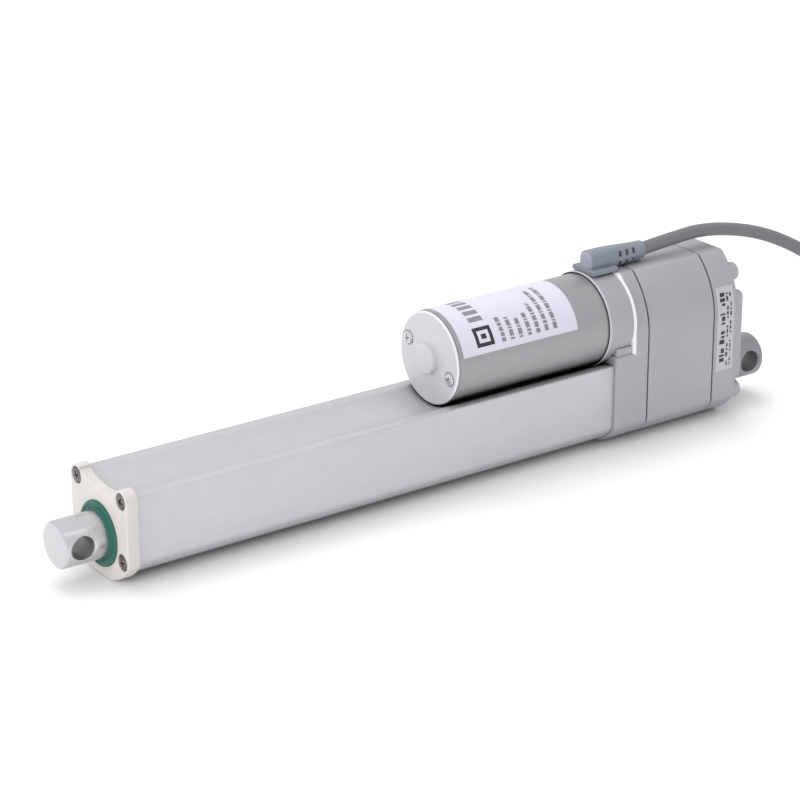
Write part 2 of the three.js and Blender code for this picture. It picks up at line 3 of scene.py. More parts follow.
import bmesh
import bpy
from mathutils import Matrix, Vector


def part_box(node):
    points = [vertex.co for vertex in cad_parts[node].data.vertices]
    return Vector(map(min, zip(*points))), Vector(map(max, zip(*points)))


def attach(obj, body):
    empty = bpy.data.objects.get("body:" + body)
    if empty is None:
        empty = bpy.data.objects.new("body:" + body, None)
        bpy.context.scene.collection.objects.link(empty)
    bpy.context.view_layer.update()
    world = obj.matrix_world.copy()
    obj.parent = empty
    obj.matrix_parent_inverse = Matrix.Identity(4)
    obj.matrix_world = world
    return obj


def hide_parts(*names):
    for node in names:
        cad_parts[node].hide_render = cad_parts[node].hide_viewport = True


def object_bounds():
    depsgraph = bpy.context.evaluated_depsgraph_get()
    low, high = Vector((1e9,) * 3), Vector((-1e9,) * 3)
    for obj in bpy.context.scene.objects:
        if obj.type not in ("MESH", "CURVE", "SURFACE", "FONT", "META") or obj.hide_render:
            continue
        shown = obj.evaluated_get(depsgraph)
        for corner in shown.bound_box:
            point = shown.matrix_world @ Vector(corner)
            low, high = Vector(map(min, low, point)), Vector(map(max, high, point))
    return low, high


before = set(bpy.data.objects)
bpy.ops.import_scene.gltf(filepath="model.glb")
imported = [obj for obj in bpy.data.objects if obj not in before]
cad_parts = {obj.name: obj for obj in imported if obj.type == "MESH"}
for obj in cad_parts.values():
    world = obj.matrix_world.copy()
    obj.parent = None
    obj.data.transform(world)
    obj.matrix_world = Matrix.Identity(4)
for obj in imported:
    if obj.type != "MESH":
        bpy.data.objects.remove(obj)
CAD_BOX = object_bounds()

# Linear actuator. Shapes are worked out in millimetres about the rod's axis, from a datum plane inside the
# front cap, with +X along the rod towards its end, and are turned into the frame's metres by to_frame.
MM = 0.001
ROUND = 96                         # sides of a turned piece
TUBE_FRONT = -4.5                  # front end of the tube, from the datum plane


# ------------------------------------------------------------------ places taken from the frame
def middle(low, high):
    return (low + high) / 2


def frame_zero():
    """The datum plane, a little in front of the tube, and the rod's axis, in metres."""
    rod_low, rod_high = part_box("rod_tube")
    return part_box("outer_tube")[1][0] - TUBE_FRONT * MM, middle(rod_low[2], rod_high[2])


ZERO_X, ZERO_Z = frame_zero()


def to_frame(point):
    x, y, z = point
    return ZERO_X + x * MM, y * MM, ZERO_Z + z * MM


def span(node):
    """Lowest and highest corner of a CAD node, in millimetres about the rod's axis."""
    low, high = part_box(node)
    return [((p[0] - ZERO_X) / MM, p[1] / MM, (p[2] - ZERO_Z) / MM) for p in (low, high)]


class Extent:
    """x0, x1, y0 ... z1, the middle of the y and z extents, and half the width of a CAD node."""

    def __init__(self, node):
        (self.x0, self.y0, self.z0), (self.x1, self.y1, self.z1) = span(node)
        self.y = middle(self.y0, self.y1)
        self.z = middle(self.z0, self.z1)
        self.half = (self.y1 - self.y0) / 2


CAP = Extent("front_cap")
TUBE = Extent("outer_tube")
CAN = Extent("motor_can")
BELL = Extent("motor_end_bell")
FRONT = Extent("front_housing")
MID = Extent("mid_housing")
COVER = Extent("rear_cover")
PIVOT = Extent("rear_pivot")
ROD_END = Extent("rod_end")
ROD_TUBE = Extent("rod_tube")
SEAL = Extent("wiper_seal")
BOOT = Extent("cable_boot")
TIE = Extent("cable_tie")
PLUG = Extent("plug_body")

BODY_HALF = CAP.y1                 # half width of cap, socket and gearbox
FLOOR = CAP.z0
HEAD_TOP = MID.z1
MOTOR_Z = CAN.z
MOTOR_R = CAN.half
ROD_R = ROD_END.half

BELLY_R = 27                       # the underside's curve, and its flat
FLAT_HALF = 8
CORNER_R = 4                       # lower corners of tube, cap and gearbox
TUBE_INSET = 1.4                   # the tube is this much narrower than its cap and socket
BORE_R = 14.3
TROUGH_R = 30                      # hollow along the top of tube and cap
TROUGH_BOTTOM = 17.1
CAP_TROUGH_BOTTOM = 18.5
RAIL_R = 0.9                       # rounding of the tube's upper edges
SHOULDER_R = 36                    # shoulders of the gearbox
SHOULDER_Z = 32
SOCKET_TOP = 25.5
SOCKET_FRONT = -249.3
FLANGE_FRONT = -259
COLLAR_R = 21.7                    # the ring that holds the motor
EDGE_R = 21.97                     # ring where the collar meets the flange, painted light as a painted highlight
EDGE_WIDTH = 1.3
CAP_BACK = -321.3                  # back of the rear cover, without its plateau
SEAM_R = 0.8                       # rounding of the castings at their seams
GASKET_INSET = 0.95
AXLE_R = 2.6                       # bore for the idler's axle
WALL = 3                           # walls of the gearbox
PIN_R = 5.1                        # cross holes in the two eyes
PIN_INSET = 8                      # from an eye's end face to its cross hole
CABLE_R = 3
CABLE_D = 2 * CABLE_R


# ------------------------------------------------------------------ outlines in the YZ plane
def arc(y, z, radius, start, end, steps):
    """Points of an arc, angles in degrees from +Y towards +Z."""
    turns = [math.radians(start + (end - start) * i / steps) for i in range(steps + 1)]
    return [(y + radius * math.cos(a), z + radius * math.sin(a)) for a in turns]


def mirrored(half):
    """The right half of an outline, bottom to top, and its mirror image."""
    return half + [(-y, z) for y, z in reversed(half) if y > 1e-6]


def underside(inset):
    """From the middle of the flat, up round the belly and the lower corner, to the side."""
    centre_z = FLOOR + math.sqrt(BELLY_R ** 2 - FLAT_HALF ** 2)
    radius = BELLY_R - inset
    floor = FLOOR + inset
    flat = math.sqrt(radius ** 2 - (centre_z - floor) ** 2)
    corner_y = BODY_HALF - inset - CORNER_R
    corner_z = centre_z - math.sqrt((radius - CORNER_R) ** 2 - corner_y ** 2)
    meets = math.degrees(math.atan2(corner_z - centre_z, corner_y))
    starts = math.degrees(math.atan2(floor - centre_z, flat))
    return arc(0, centre_z, radius, starts, meets, 16) + arc(corner_y, corner_z, CORNER_R, meets, 0, 10)[1:]


def trough(radius, bottom, top):
    """The right half of a hollow, from its upper edge down to its middle."""
    centre_z = bottom + radius
    edge = math.degrees(math.asin((top - centre_z) / radius))
    return arc(0, centre_z, radius, edge, -90, 24)


def tube_outline(inset=0):
    """The tube: flat sides with a rounded rail along each top edge, and a hollow between the rails."""
    side = BODY_HALF - TUBE_INSET - inset
    top = TUBE.z1 - inset
    dip = trough(TROUGH_R + inset, TROUGH_BOTTOM - inset, top - 0.35)
    rail = arc(side - RAIL_R, top - RAIL_R, RAIL_R, 0, 90, 6)
    return mirrored(underside(TUBE_INSET + inset) + rail + dip)


def cap_outline(inset=0):
    """The front cap follows the tube, with a rounded ear about each upper screw."""
    at = Extent("cap_screw_2")
    ear = arc(at.y, at.z, BODY_HALF - at.y - inset, 0, 118, 18)
    dip = trough(TROUGH_R + inset, CAP_TROUGH_BOTTOM - inset, ear[-1][1] - 1.2)
    return mirrored(underside(inset) + ear + dip)


def socket_outline(inset=0):
    """The socket that holds the tube: flat on top, with small round corners."""
    top = SOCKET_TOP - inset
    corner = arc(BODY_HALF - inset - 1, top - 1, 1, 0, 90, 6)
    return mirrored(underside(inset) + corner + [(0, top)])


def head_outline(inset=0):
    """The gearbox: flat sides, round shoulders, and a flat top that meets them in a soft crease."""
    radius = SHOULDER_R - inset
    top = HEAD_TOP - inset
    edge = math.degrees(math.asin((top - SHOULDER_Z) / radius))
    shoulder = arc(BODY_HALF - SHOULDER_R, SHOULDER_Z, radius, 0, edge - 1, 24)
    corner_y, corner_z = arc(BODY_HALF - SHOULDER_R, SHOULDER_Z, radius, edge, edge, 1)[0]
    return mirrored(underside(inset) + shoulder + [(corner_y - 0.35, corner_z - 0.02), (0, top)])


def rounded_box(half_y, low, high, radius):
    """An outline function: a box with rounded corners, y from -half_y to half_y."""
    def outline(inset=0):
        y, z0, z1 = half_y - inset, low + inset, high - inset
        corners = [(y - radius, z0 + radius, -90), (y - radius, z1 - radius, 0),
                   (radius - y, z1 - radius, 90), (radius - y, z0 + radius, 180)]
        return [p for cy, cz, turn in corners for p in arc(cy, cz, radius, turn, turn + 90, 6)]
    return outline


def cross(half_length, half_width, y, z, turn):
    """An outline function: the cross of a screwdriver's recess."""
    def outline(inset=0):
        a, b = half_length - inset, half_width - 0.25 * inset
        corners = [(a, -b), (a, b), (b, b), (b, a), (-b, a), (-b, b),
                   (-a, b), (-a, -b), (-b, -b), (-b, -a), (b, -a), (b, -b)]
        c, s = math.cos(math.radians(turn)), math.sin(math.radians(turn))
        return [(y + c * p - s * q, z + s * p + c * q) for p, q in corners]
    return outline


# ------------------------------------------------------------------ shapes: (points, faces)
def bridge(rings, closed=False):
    """Faces between rings of points; the ends are filled unless the last ring joins the first."""
    points = [p for ring in rings for p in ring]
    faces = []
    starts = []
    total = 0
    for ring in rings:
        starts.append(total)
        total += len(ring)
    pairs = list(zip(range(len(rings) - 1), range(1, len(rings))))
    if closed:
        pairs.append((len(rings) - 1, 0))
    for a, b in pairs:
        n = max(len(rings[a]), len(rings[b]))
        for i in range(n):
            j = (i + 1) % n
            corner = [starts[a] + i % len(rings[a]), starts[a] + j % len(rings[a]),
                      starts[b] + j % len(rings[b]), starts[b] + i % len(rings[b])]
            faces.append(tuple(dict.fromkeys(corner)))
    if not closed:
        for start, ring in ((starts[0], rings[0]), (starts[-1], rings[-1])):
            if len(ring) > 2:
                faces.append(tuple(range(start, start + len(ring))))
    return points, faces


def circle(radius, sides):
    """Points of a full circle about the origin."""
    turns = [2 * math.pi * i / sides for i in range(sides)]
    return [(radius * math.cos(a), radius * math.sin(a)) for a in turns]


def rounded(low, high, low_radius=0.0, high_radius=0.0, steps=6):
    """Stations (x, inset) from low to high with a fillet at each end."""
    stations = []
    for end, radius, sign in ((low, low_radius, 1), (high, high_radius, -1)):
        fillet = [(end, 0.0)]
        if radius > 0:
            turns = [math.pi / 2 * i / steps for i in range(steps + 1)]
            fillet = [(end + sign * radius * (1 - math.cos(a)), radius * (1 - math.sin(a))) for a in turns]
        stations.append(fillet)
    return stations[0] + stations[1][::-1]


def loft(outline, stations):
    """A solid between outlines that stand across X, one for each station (x, inset)."""
    return bridge([[(x, y, z) for y, z in outline(inset)] for x, inset in stations])


def lathe(profile, y=0.0, z=0.0, sides=ROUND):
    """A profile of (radius, x) turned about the line along X at (y, z)."""
    closed = profile[0] == profile[-1]
    rings = []
    for radius, x in profile[:-1] if closed else profile:
        if radius < 1e-6:
            rings.append([(x, y, z)])
        else:
            rings.append([(x, y + across, z + up) for across, up in circle(radius, sides)])
    return bridge(rings, closed)


def rod(radius, low, high, y=0.0, z=0.0, low_radius=0.0, high_radius=0.0, sides=ROUND):
    """A solid round bar along X with filleted ends."""
    body = [(radius - inset, x) for x, inset in rounded(low, high, low_radius, high_radius)]
    return lathe([(0, low)] + body + [(0, high)], y, z, sides)


def pipe(inner, outer, low, high, y=0.0, z=0.0, fillet=0.0):
    """A round tube along X whose outer edges are filleted."""
    body = [(outer - inset, x) for x, inset in rounded(low, high, fillet, fillet)]
    return lathe([(inner, low)] + body + [(inner, high), (inner, low)], y, z)


def bar_y(x, z, profile, sides=64):
    """A profile of (radius, y) turned about the line along Y at (x, z)."""
    return bridge([[(x + along, y, z + up) for along, up in circle(radius, sides)] for radius, y in profile])


def prism(section, x0, x1):
    """A section of (y, z) points drawn straight along X."""
    return loft(lambda inset: section, [(x0, 0), (x1, 0)])


def block(x0, x1, y0, y1, z0, z1):
    return prism([(y0, z0), (y1, z0), (y1, z1), (y0, z1)], x0, x1)


def tube_along(path, radius, sides=20):
    """A round section carried along a path without twisting, with rounded ends."""
    points = [Vector(p) for p in path]
    ahead = [(b - a).normalized() for a, b in zip(points, points[1:])]
    tangents = [ahead[0]] + [(a + b).normalized() for a, b in zip(ahead, ahead[1:])] + [ahead[-1]]
    across = Vector((0, 1, 0))
    rings = []
    for point, tangent in zip(points, tangents):
        across = (across - tangent * across.dot(tangent)).normalized()
        other = tangent.cross(across)
        rings.append([tuple(point + across * a + other * b) for a, b in circle(radius, sides)])
    return bridge(rings)


def together(shapes):
    """Several shapes as one."""
    points, faces = [], []
    for more_points, more_faces in shapes:
        faces += [tuple(i + len(points) for i in face) for face in more_faces]
        points += more_points
    return points, faces


# ------------------------------------------------------------------ objects
def mesh_object(name, shape):
    """A Blender object from a shape in millimetres, with its faces turned outwards."""
    mesh = bpy.data.meshes.new(name)
    mesh.from_pydata([to_frame(p) for p in shape[0]], [], shape[1])
    whole = bmesh.new()
    whole.from_mesh(mesh)
    bmesh.ops.remove_doubles(whole, verts=whole.verts, dist=1e-7)
    bmesh.ops.recalc_face_normals(whole, faces=whole.faces)
    whole.to_mesh(mesh)
    whole.free()
    made = bpy.data.objects.new(name, mesh)
    bpy.context.scene.collection.objects.link(made)
    return made


def apply_modifiers(made):
    """Keeps what the modifiers make as the object's own mesh."""
    evaluated = made.evaluated_get(bpy.context.evaluated_depsgraph_get())
    mesh = bpy.data.meshes.new_from_object(evaluated)
    made.modifiers.clear()
    made.data = mesh


def carve(made, shapes, operation="DIFFERENCE"):
    """Cuts shapes out of an object, or joins them to it."""
    tools = [mesh_object("tool", shape) for shape in shapes]
    for tool in tools:
        cut = made.modifiers.new("cut", "BOOLEAN")
        cut.solver = "EXACT"
        cut.operation = operation
        cut.object = tool
    apply_modifiers(made)
    for tool in tools:
        bpy.data.objects.remove(tool)
    return made


def finish_piece(made, look, body, nodes=(), crease=32):
    """Shading, material and place in the frame of a finished mesh."""
    made.data.shade_smooth()
    made.data.set_sharp_from_angle(angle=math.radians(crease))
    made.data.materials.clear()
    made.data.materials.append(look)
    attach(made, body)
    if nodes:
        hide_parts(*nodes)
    return made


def paint_faces(made, look, chosen):
    """One more material, on the faces for which chosen(centre, normal) holds, centre in millimetres."""
    made.data.materials.append(look)
    place = len(made.data.materials) - 1
    for face in made.data.polygons:
        x, y, z = face.center
        if chosen(((x - ZERO_X) / MM, y / MM, (z - ZERO_Z) / MM), face.normal):
            face.material_index = place


# ------------------------------------------------------------------ materials
def node(tree, kind, inputs=None, **settings):
    """A shader node; an input is a value or the output that feeds it."""
    made = tree.nodes.new(kind)
    for key, value in settings.items():
        setattr(made, key, value)
    for socket, value in (inputs or {}).items():
        if isinstance(value, bpy.types.NodeSocket):
            tree.links.new(value, made.inputs[socket])
        else:
            made.inputs[socket].default_value = value
    return made


def noise(tree, scale, stretch=(1, 1, 1), detail=3.0):
    """Noise over the object; stretch scales it along each axis, so a small number draws it out."""
    place = node(tree, "ShaderNodeTexCoord").outputs["Object"]
    mapped = node(tree, "ShaderNodeMapping", {"Vector": place, "Scale": stretch})
    made = node(tree, "ShaderNodeTexNoise", {"Vector": mapped.outputs["Vector"], "Scale": scale,
                                             "Detail": detail})
    return made.outputs["Fac"]


def remap(tree, value, low, high, start=0.3, end=0.7):
    """The value's stretch from start to end, spread over low to high."""
    made = node(tree, "ShaderNodeMapRange", {"Value": value, "From Min": start, "From Max": end,
                                             "To Min": low, "To Max": high})
    return made.outputs["Result"]


def blend_colour(tree, factor, a, b):
    return node(tree, "ShaderNodeMix", {0: factor, 6: a, 7: b}, data_type="RGBA").outputs[2]


def shade(colour, factor):
    """The colour made darker or lighter, with its alpha."""
    return tuple(min(1.0, c * factor) for c in colour) + (1.0,)


def surface(name, colour, roughness, metallic=0.0, grain=900, stretch=(1, 1, 1), bump=0.02, tint=0.05,
            spread=0.06, wear=0.25, worn=1.25, painted_gap_shade=0.0):
    """A worn surface: broad and fine mottling in its colour, uneven gloss, a fine bump, brighter edges.
    tint is how uneven the colour is, spread how uneven the gloss is, wear and worn how far and how much
    the edges are rubbed, and painted_gap_shade the width, in millimetres, of the gaps that are painted dark
    as painted shade."""
    made = bpy.data.materials.new(name)
    made.use_nodes = True
    tree = made.node_tree
    shader = tree.nodes["Principled BSDF"]
    fine = noise(tree, grain, stretch)
    broad = noise(tree, 28, detail=2.0)
    mottled = blend_colour(tree, remap(tree, broad, 0, 1),
                           shade(colour, 1 - tint), shade(colour, 1 + tint / 2))
    speckled = blend_colour(tree, remap(tree, fine, 0, 0.5), mottled, shade(colour, 1 - 1.5 * tint))
    edge = node(tree, "ShaderNodeNewGeometry").outputs["Pointiness"]
    rubbed = node(tree, "ShaderNodeMath", {0: remap(tree, edge, 0, wear, 0.505, 0.56),
                                           1: remap(tree, noise(tree, 160), 0.2, 1)}, operation="MULTIPLY")
    tinted = blend_colour(tree, rubbed.outputs[0], speckled, shade(colour, worn))
    if painted_gap_shade:
        # Painted shade: ambient occlusion darkens the base colour nearly to black in gaps and crevices.
        gap = node(tree, "ShaderNodeAmbientOcclusion", {"Distance": painted_gap_shade * MM}, samples=8)
        open_air = remap(tree, gap.outputs["AO"], 0, 1, 0.12, 0.55)
        tinted = blend_colour(tree, open_air, shade(colour, 0.04), tinted)
    tree.links.new(tinted, shader.inputs["Base Color"])
    gloss = node(tree, "ShaderNodeMath", {0: remap(tree, fine, roughness - spread, roughness + spread),
                                          1: remap(tree, broad, -spread / 2, spread / 2)}, operation="ADD")
    tree.links.new(gloss.outputs[0], shader.inputs["Roughness"])
    raised = node(tree, "ShaderNodeBump", {"Strength": 0.6, "Distance": bump * MM, "Height": fine})
    tree.links.new(raised.outputs["Normal"], shader.inputs["Normal"])
    shader.inputs["Metallic"].default_value = metallic
    return made


EVEN = (1, 1, 1)
ALONG = (0.012, 1, 1)              # drawn out along X: extruded and brushed
DRAWN = (0.2, 1, 1)                # a little drawn out along X
ROUND_X = (1, 0.02, 0.02)          # drawn out across X: turned on a lathe

# metals
# painted_gap_shade paints shade into the gaps of these finishes, darkest in the hollow under the motor.
anodised = surface("anodised_aluminium", (0.52, 0.515, 0.535), 0.38, 0.45, 1500, ALONG, 0.006, 0.035, painted_gap_shade=5)
# The rear pivot's own dull finish, also painted on the wall of the rod end's cross hole as painted shade.
dull_and_bore_shade = surface("dull_aluminium_and_bore_shade", (0.30, 0.295, 0.31), 0.4, 0.6, 2200, ROUND_X, 0.004, 0.05, painted_gap_shade=3)
turned = surface("turned_aluminium", (0.56, 0.56, 0.575), 0.3, 0.7, 2200, ROUND_X, 0.0015, 0.02,
                 spread=0.03, painted_gap_shade=5)
cast = surface("cast_housing", (0.385, 0.38, 0.405), 0.44, 0.3, 1900, EVEN, 0.02, 0.06, painted_gap_shade=3)
# Painted highlight: a lighter casting colour for the collar's rounded front edge.
collar_highlight_paint = surface("collar_painted_highlight", (0.52, 0.515, 0.54), 0.42, 0.3, 1900, EVEN, 0.02, 0.06)
# Painted highlight: near white, painted on the front edge of the flange where light catches it.
flange_highlight_paint = surface("flange_painted_highlight", (0.84, 0.84, 0.85), 0.42, 0.3, 2200, EVEN, 0.004, 0.02, wear=0.0)
steel = surface("dark_steel", (0.20, 0.175, 0.185), 0.34, 0.8, 2400, EVEN, 0.01, 0.12, wear=0.5, worn=1.6)
zinc = surface("zinc_plate", (0.66, 0.66, 0.67), 0.3, 0.8, 2400, EVEN, 0.01, 0.08)
bronze = surface("bronze", (0.46, 0.30, 0.13), 0.36, 0.85, 2000, ROUND_X, 0.01, 0.12)
copper = surface("winding_copper", (0.50, 0.21, 0.09), 0.34, 0.8, 3000, (0.1, 1, 1), 0.06, 0.2)
ferrite = surface("ferrite", (0.05, 0.05, 0.056), 0.6, 0.2, 1600, EVEN, 0.03, 0.2)

# paint and labels
# painted_gap_shade on the motor paint darkens its underside near the tube as painted shade.
paint = surface("motor_paint", (0.34, 0.338, 0.35), 0.36, 0.45, 2200, DRAWN, 0.01, 0.05, painted_gap_shade=9)
# Painted highlight: a light paint for the end bell's rounded rim, where light catches the bevel.
bell_highlight_paint = surface("bell_face_painted_highlight", (0.74, 0.74, 0.76), 0.4, 0.1, 2200, EVEN, 0.01, 0.03)
paint_light = surface("bell_paint", (0.575, 0.57, 0.60), 0.46, 0.12, 2200, EVEN, 0.01, 0.05)
film = surface("label_film", (0.64, 0.63, 0.72), 0.38, 0.0, 1600, EVEN, 0.006, 0.03, wear=0.0)
rear_film = surface("rear_label_film", (0.50, 0.49, 0.52), 0.4, 0.0, 1600, EVEN, 0.01, 0.06, wear=0.0)
ink = surface("label_ink", (0.02, 0.02, 0.022), 0.45, 0.0, 2500, EVEN, 0.004, 0.2, wear=0.0)
grey_ink = surface("label_grey_ink", (0.24, 0.235, 0.26), 0.45, 0.0, 2500, EVEN, 0.004, 0.2, wear=0.0)

# plastics and rubbers
ivory = surface("ivory_plastic", (0.62, 0.585, 0.555), 0.45, 0.0, 1200, EVEN, 0.012, 0.04,
                wear=0.1, worn=1.06)
green = surface("green_seal", (0.012, 0.115, 0.088), 0.42, 0.0, 900, EVEN, 0.03, 0.15, wear=0.2, worn=1.6)
nylon = surface("gear_plastic", (0.72, 0.69, 0.60), 0.4, 0.0, 1300, EVEN, 0.015, 0.05)
rubber = surface("gasket_rubber", (0.03, 0.03, 0.033), 0.65, 0.0, 1500, EVEN, 0.03, 0.2)
board = surface("circuit_board", (0.03, 0.14, 0.06), 0.4, 0.0, 2400, EVEN, 0.02, 0.2)
black = surface("black_plastic", (0.025, 0.025, 0.027), 0.42, 0.0, 1300, EVEN, 0.02, 0.15,
                wear=0.3, worn=2.5)
boot_rubber = surface("boot_rubber", (0.20, 0.225, 0.268), 0.42, 0.0, 1300, EVEN, 0.02, 0.06,
                      wear=0.2, worn=1.2)
# Painted sheen: a lighter rubber for the front faces of the boot's nose.
nose_sheen = surface("boot_front_painted_sheen", (0.29, 0.315, 0.37), 0.42, 0.0, 1300, EVEN, 0.02, 0.06)
jacket = surface("cable_jacket", (0.155, 0.153, 0.166), 0.46, 0.0, 1100, (0.15, 1, 1), 0.015, 0.06)

# the finishes of the CAD nodes that stay as they are, all of them inside the housing
CARRIED = {
    steel: ("lead_screw", "screw_collar", "idler_axle", "idler_gear_small", "idler_spacer", "motor_shaft",
            "motor_pinion", "nut_pin"),
    zinc: ("screw_bearing_inner", "screw_bearing_outer"),
    nylon: ("drive_nut", "screw_gear", "idler_gear_large"),
    bronze: ("rod_bush", "motor_bush"),
    copper: ("armature", "commutator"),
    ferrite: ("limit_magnet", "magnet_left", "magnet_right", "brush_upper", "brush_lower"),
    board: ("limit_board",),
    black: ("limit_sensor_front", "limit_sensor_rear", "brush_card"),
}


def paint_carried_nodes():
    for look, names in CARRIED.items():
        for name in names:
            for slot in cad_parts[name].material_slots:
                slot.material = look


# ------------------------------------------------------------------ camera
CAMERA_TARGET = (-150.85, -4.49, 20.51)
CAMERA_AZIMUTH = 143.88
CAMERA_ELEVATION = 21.45
CAMERA_DISTANCE = 1.2338           # metres


def make_camera():
    azimuth, elevation = math.radians(CAMERA_AZIMUTH), math.radians(CAMERA_ELEVATION)
    back = Vector((math.sin(azimuth) * math.cos(elevation), -math.cos(azimuth) * math.cos(elevation),
                   math.sin(elevation)))
    data = bpy.data.cameras.new("camera")
    data.lens = 130.06
    data.sensor_width = 36
    data.clip_end = 20
    camera = bpy.data.objects.new("camera", data)
    camera.location = Vector(to_frame(CAMERA_TARGET)) + back * CAMERA_DISTANCE
    camera.rotation_euler = back.to_track_quat("Z", "Y").to_euler()
    bpy.context.scene.collection.objects.link(camera)
    bpy.context.scene.camera = camera


# ------------------------------------------------------------------ cable, hank, tie and plug
CABLE_FALL = [                     # from the boot back over the gearbox and down behind the rear pivot
    (-280.3, 0, 64.2), (-290, 0, 65.0), (-300, 0, 65.7), (-312, 0, 66.2), (-325, 0, 64.9),
    (-340, 0, 61.6), (-354, 0.3, 57.0), (-367, 1.8, 51.0), (-379, 4.8, 43.6), (-390, 9.2, 34.4),
    (-399, 13.9, 24.0), (-407, 18.4, 13.4), (-415, 22.2, 4.0), (-421, 23.9, -1.3),
]
HANK_FRONT = -430                  # centres of the hank's two ends
HANK_REAR = HANK_FRONT - 90
OUTER_TURN = 24.3                  # half widths of the turns
INNER_TURN = 18
LOW_TURN = -14.3                   # heights of the two layers of turns
HIGH_TURN = LOW_TURN + CABLE_D
LANDING_R = 53                     # bend with which the cable comes down to the hank
LANDING_SPAN = 41                  # degrees


def ease(t):
    """A smooth step from 0 to 1."""
    t = min(1.0, max(0.0, t))
    return t * t * (3 - 2 * t)


def landing():
    """The cable flattens out onto the hank's outer run."""
    x = CABLE_FALL[-1][0] - LANDING_R * math.sin(math.radians(LANDING_SPAN))
    return [(x + LANDING_R * math.sin(a), OUTER_TURN, LOW_TURN + LANDING_R * (1 - math.cos(a)))
            for a in (math.radians(degrees) for degrees in (30, 20, 10, 0))]


def run(x0, x1, y, z, steps):
    """Points along a straight run, without its first; z is a height or a function of how far along."""
    height = z if callable(z) else lambda t: z
    return [(x0 + (x1 - x0) * i / steps, y, height(i / steps)) for i in range(1, steps + 1)]


def fold(x, start, radius, z, steps=12):
    """Points round an end of the hank, without the first; radius and z are functions of how far round."""
    points = []
    for i in range(1, steps + 1):
        t = i / steps
        a = math.radians(start + 180 * t)
        points.append((x + radius(t) * math.cos(a), radius(t) * math.sin(a), z(t)))
    return points


def steady(value):
    """A radius or height that stays the same all the way round a fold."""
    return lambda t: value


def to_plug(start):
    """The lead's last stretch, from the inner turn down to the back of the plug."""
    points = []
    for i in range(1, 7):
        t = i / 6
        points.append((start + (PLUG.x0 - start) * t, -INNER_TURN + (PLUG.y + INNER_TURN) * ease(t),
                       HIGH_TURN + (PLUG.z - HIGH_TURN) * ease((t - 0.25) / 0.75)))
    return points


def hank_route():
    """An outer turn, an inner turn beside it, and a half turn on top that leads to the plug."""
    climb = 0.55                   # part of the climb that is done on the run, before the fold
    points = landing()
    points += run(points[-1][0], HANK_REAR, OUTER_TURN, LOW_TURN, 5)
    points += fold(HANK_REAR, 90, steady(OUTER_TURN), steady(LOW_TURN))
    points += run(HANK_REAR, HANK_FRONT, -OUTER_TURN, LOW_TURN, 8)
    points += fold(HANK_FRONT, -90, lambda t: OUTER_TURN + (INNER_TURN - OUTER_TURN) * ease(2 * t - 1),
                   steady(LOW_TURN))
    points += run(HANK_FRONT, HANK_REAR, INNER_TURN, LOW_TURN, 8)
    points += fold(HANK_REAR, 90, steady(INNER_TURN), steady(LOW_TURN))
    points += run(HANK_REAR, HANK_FRONT, -INNER_TURN,
                  lambda t: LOW_TURN + CABLE_D * ease((t - 0.62) / 0.38 * climb), 10)
    points += fold(HANK_FRONT, -90, steady(INNER_TURN),
                   lambda t: LOW_TURN + CABLE_D * ease(climb + (1 - climb) * 2.2 * t))
    points += run(HANK_FRONT, HANK_REAR, INNER_TURN, HIGH_TURN, 8)
    points += fold(HANK_REAR, 90, steady(INNER_TURN), steady(HIGH_TURN))
    return points + to_plug(HANK_REAR)


def smooth_path(knots, pieces=5):
    """Catmull-Rom curve through the knots."""
    knots = [Vector(k) for k in knots]
    path = []
    for i in range(len(knots) - 1):
        before = knots[i - 1] if i else knots[0] * 2 - knots[1]
        after = knots[i + 2] if i + 2 < len(knots) else knots[-1] * 2 - knots[-2]
        a, b = knots[i], knots[i + 1]
        for k in range(pieces):
            t = k / pieces
            path.append(0.5 * (2 * a + (b - before) * t + (2 * before - 5 * a + 4 * b - after) * t * t
                               + (3 * a - before - 3 * b + after) * t ** 3))
    path.append(knots[-1])
    return [tuple(p) for p in path]


def make_plug():
    """A flat two-pole plug with rounded edges and grip grooves along its sides."""
    section = rounded_box(PLUG.half, PLUG.z0 - PLUG.z, PLUG.z1 - PLUG.z, 2.2)

    def shifted(inset):
        return [(y + PLUG.y, z + PLUG.z) for y, z in section(inset)]

    body = mesh_object("plug_shell", loft(shifted, rounded(PLUG.x0, PLUG.x1, 2.0, 0.6)))
    reach = 1.6                    # half width of a cutter that stands 1 mm outside the side
    grooves = []
    for i in range(3):
        x = PLUG.x0 + 5 + 2.6 * i
        for side in (-1, 1):
            y = PLUG.y + side * (PLUG.half + 1)
            grooves.append(block(x, x + 1.1, y - reach, y + reach, PLUG.z - 3, PLUG.z + 3))
    carve(body, grooves)
    finish_piece(body, black, "housing", ["plug_body"])
    return [body] + [make_plug_pin(name) for name in ("plug_pin_1", "plug_pin_2")]


def make_plug_pin(name):
    at = Extent(name)
    pin = mesh_object(f"{name}_post", rod(at.half, at.x0 - 1, at.x1, at.y, at.z, 0, 0.7, 32))
    return finish_piece(pin, zinc, "housing", [name])


def make_tie():
    """A flat strap round the hank, with its buckle on top."""
    outline = rounded_box(TIE.half, TIE.z0, TIE.z1, 3.2)
    thick = 0.55
    rings = [[(x, y, z) for y, z in outline(inset)]
             for x, inset in ((TIE.x0, 0), (TIE.x1, 0), (TIE.x1, thick), (TIE.x0, thick))]
    strap = mesh_object("tie_strap", bridge(rings, closed=True))
    buckle = rounded_box(5.5, TIE.z1 - 0.4, TIE.z1 + 1.5, 0.6)
    carve(strap, [loft(buckle, rounded(TIE.x0 - 1, TIE.x1 + 1, 0.5, 0.5, 3))], "UNION")
    return finish_piece(strap, black, "housing", ["cable_tie"])


